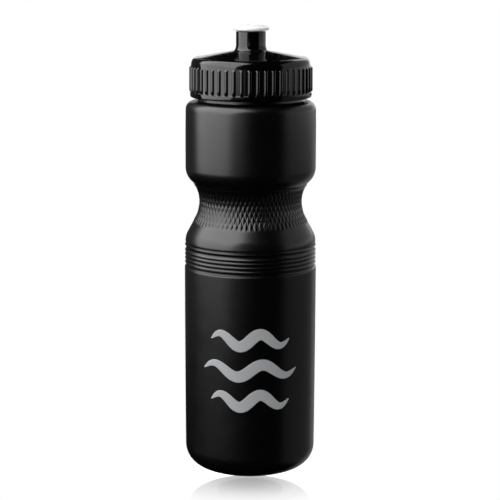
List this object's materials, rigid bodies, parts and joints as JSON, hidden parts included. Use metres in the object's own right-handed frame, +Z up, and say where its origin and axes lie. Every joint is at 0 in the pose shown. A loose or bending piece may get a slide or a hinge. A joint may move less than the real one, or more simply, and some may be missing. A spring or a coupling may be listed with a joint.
{
  "type": "sports squeeze bottle",
  "caption": "Squeeze bottle with a gripped waist and a ribbed screw lid, whose drinking spout is opened and closed by a push-pull valve.",
  "frame": {"origin": "centre of the base, on the surface that the bottle stands on", "axes": "+Z up along the bottle's axis, -Y out of the printed front"},
  "size_m": [0.0732, 0.0732, 0.2483],
  "materials": {
    "black_squeeze_plastic": "satin with a fine eggshell texture",
    "black_lid_plastic": "gloss",
    "seal_foam": "matte",
    "frosted_valve_plastic": "translucent white, smooth"
  },
  "bodies": {
    "bottle": {"bottle_body": "black_squeeze_plastic"},
    "seal": {"lid_seal_ring": "seal_foam"},
    "lid": {"screw_lid": "black_lid_plastic"},
    "valve": {"push_pull_valve": "frosted_valve_plastic"}
  },
  "joints": [
    {"name": "lid_rise", "type": "slide", "parent": "bottle", "child": "seal", "axis": [0, 0, 1], "range_m": [0, 0.0181]},
    {"name": "lid_turn", "type": "hinge", "parent": "seal", "child": "lid", "pos_m": [0, 0, 0.2155], "axis": [0, 0, 1], "range_deg": [0, 1080]},
    {"name": "valve_pull", "type": "slide", "parent": "lid", "child": "valve", "axis": [0, 0, 1], "range_m": [0, 0.0065]}
  ],
  "couplings": [
    {"joint": "lid_rise", "follows": "lid_turn", "m_per_rad": 0.00095493}
  ]
}
